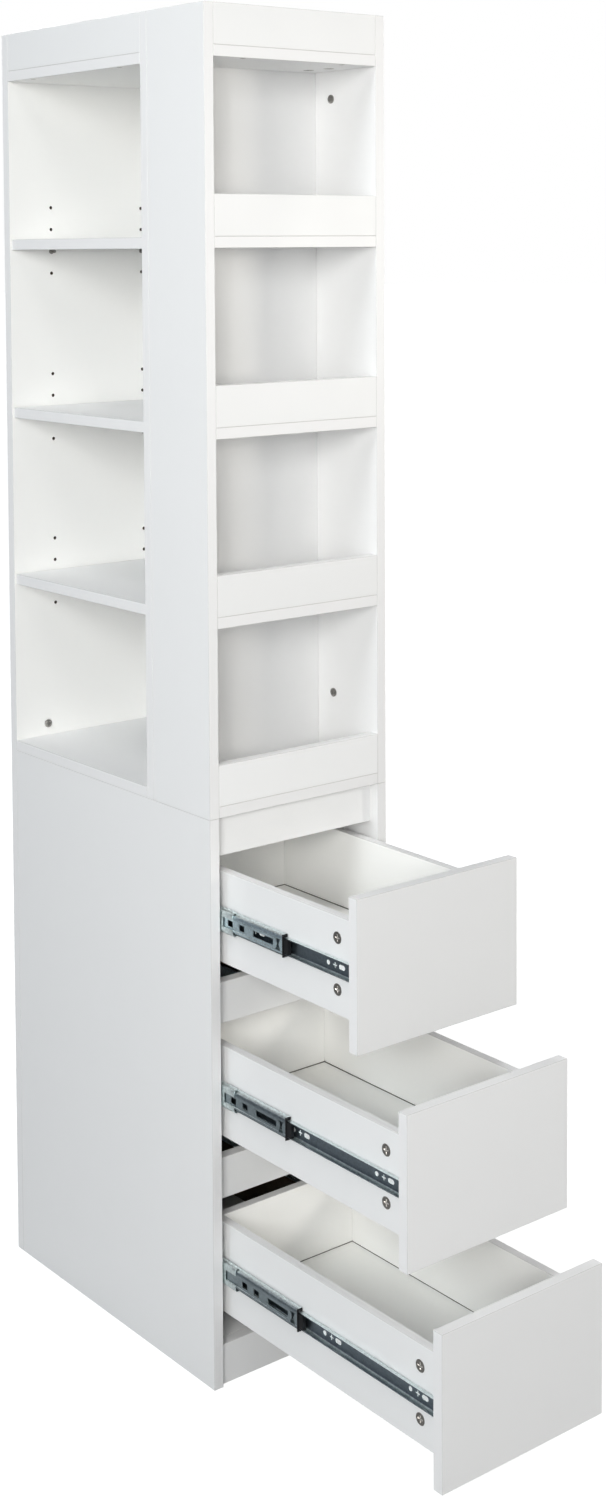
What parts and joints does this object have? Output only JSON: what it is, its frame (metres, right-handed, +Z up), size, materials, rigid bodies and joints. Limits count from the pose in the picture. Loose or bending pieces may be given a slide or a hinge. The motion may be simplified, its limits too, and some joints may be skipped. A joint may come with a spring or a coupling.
{
  "type": "tower cabinet with open shelves and drawers",
  "caption": "Tall narrow white board cabinet with lipped shelves open to the front, deep shelves open to the left, and handle-less drawers below on telescopic ball slides.",
  "frame": {"origin": "on the floor, in the middle of the back board's underside", "axes": "+Z up, -Y to the front where the drawers come out, -X to the open left side"},
  "size_m": [0.303, 0.898, 1.8],
  "materials": {
    "white_board": "white melamine, satin",
    "white_panel": "white hardboard, satin",
    "zinc_steel": "blue-grey zinc plate",
    "bright_zinc": "bright zinc plate",
    "nickel_steel": "nickel plate",
    "zinc_die_cast": "bare die-cast zinc",
    "black_plastic": "moulded, matte"
  },
  "bodies": {
    "carcass": {"back_board": "white_board", "right_upper_panel": "white_board", "divider": "white_board", "left_post": "white_board", "rear_top_board": "white_board", "left_fascia": "white_board", "rear_bottom_board": "white_board", "rear_shelf_1": "white_board", "rear_shelf_2": "white_board", "rear_shelf_3": "white_board", "front_top_board": "white_board", "front_fascia": "white_board", "front_shelf_1": "white_board", "shelf_lip_1": "white_board", "front_shelf_2": "white_board", "shelf_lip_2": "white_board", "front_shelf_3": "white_board", "shelf_lip_3": "white_board", "front_bottom_board": "white_board", "shelf_lip_4": "white_board", "left_lower_panel": "white_board", "right_lower_panel": "white_board", "top_rail": "white_board", "drawer_rail_1": "white_board", "drawer_rail_2": "white_board", "plinth": "white_board", "bottom_board": "white_board", "shelf_pins": "nickel_steel", "panel_fasteners": "nickel_steel", "slide_outers": "zinc_steel"},
    "drawer_1": {"drawer_front_1": "white_board", "drawer_left_side_1": "white_board", "drawer_right_side_1": "white_board", "drawer_back_1": "white_board", "drawer_bottom_1": "white_panel", "drawer_cams_1": "zinc_die_cast", "slide_inner_1": "zinc_steel"},
    "slide_middle_pair_1": {"slide_middle_1": "zinc_steel", "slide_guides_1": "black_plastic"},
    "slide_cage_pair_1": {"slide_cages_1": "bright_zinc"},
    "drawer_2": {"drawer_front_2": "white_board", "drawer_left_side_2": "white_board", "drawer_right_side_2": "white_board", "drawer_back_2": "white_board", "drawer_bottom_2": "white_panel", "drawer_cams_2": "zinc_die_cast", "slide_inner_2": "zinc_steel"},
    "slide_middle_pair_2": {"slide_middle_2": "zinc_steel", "slide_guides_2": "black_plastic"},
    "slide_cage_pair_2": {"slide_cages_2": "bright_zinc"},
    "drawer_3": {"drawer_front_3": "white_board", "drawer_left_side_3": "white_board", "drawer_right_side_3": "white_board", "drawer_back_3": "white_board", "drawer_bottom_3": "white_panel", "drawer_cams_3": "zinc_die_cast", "slide_inner_3": "zinc_steel"},
    "slide_middle_pair_3": {"slide_middle_3": "zinc_steel", "slide_guides_3": "black_plastic"},
    "slide_cage_pair_3": {"slide_cages_3": "bright_zinc"}
  },
  "joints": [
    {"name": "drawer_1_slide", "type": "slide", "parent": "carcass", "child": "drawer_1", "axis": [0, -1, 0], "range_m": [-0.266, 0.149]},
    {"name": "slide_middle_1_run", "type": "slide", "parent": "carcass", "child": "slide_middle_pair_1", "axis": [0, -1, 0], "range_m": [-0.15101, 0.08459]},
    {"name": "slide_cage_1_run", "type": "slide", "parent": "carcass", "child": "slide_cage_pair_1", "axis": [0, -1, 0], "range_m": [-0.07551, 0.0423]},
    {"name": "drawer_2_slide", "type": "slide", "parent": "carcass", "child": "drawer_2", "axis": [0, -1, 0], "range_m": [-0.353, 0.062]},
    {"name": "slide_middle_2_run", "type": "slide", "parent": "carcass", "child": "slide_middle_pair_2", "axis": [0, -1, 0], "range_m": [-0.15501, 0.02723]},
    {"name": "slide_cage_2_run", "type": "slide", "parent": "carcass", "child": "slide_cage_pair_2", "axis": [0, -1, 0], "range_m": [-0.07751, 0.01362]},
    {"name": "drawer_3_slide", "type": "slide", "parent": "carcass", "child": "drawer_3", "axis": [0, -1, 0], "range_m": [-0.411, 0.004]},
    {"name": "slide_middle_3_run", "type": "slide", "parent": "carcass", "child": "slide_middle_pair_3", "axis": [0, -1, 0], "range_m": [-0.17601, 0.00172]},
    {"name": "slide_cage_3_run", "type": "slide", "parent": "carcass", "child": "slide_cage_pair_3", "axis": [0, -1, 0], "range_m": [-0.08801, 0.00087]}
  ],
  "couplings": [
    {"joint": "slide_middle_1_run", "follows": "drawer_1_slide", "ratio": 0.56767},
    {"joint": "slide_cage_1_run", "follows": "drawer_1_slide", "ratio": 0.28384},
    {"joint": "slide_middle_2_run", "follows": "drawer_2_slide", "ratio": 0.43909},
    {"joint": "slide_cage_2_run", "follows": "drawer_2_slide", "ratio": 0.21955},
    {"joint": "slide_middle_3_run", "follows": "drawer_3_slide", "ratio": 0.42822},
    {"joint": "slide_cage_3_run", "follows": "drawer_3_slide", "ratio": 0.21411}
  ]
}
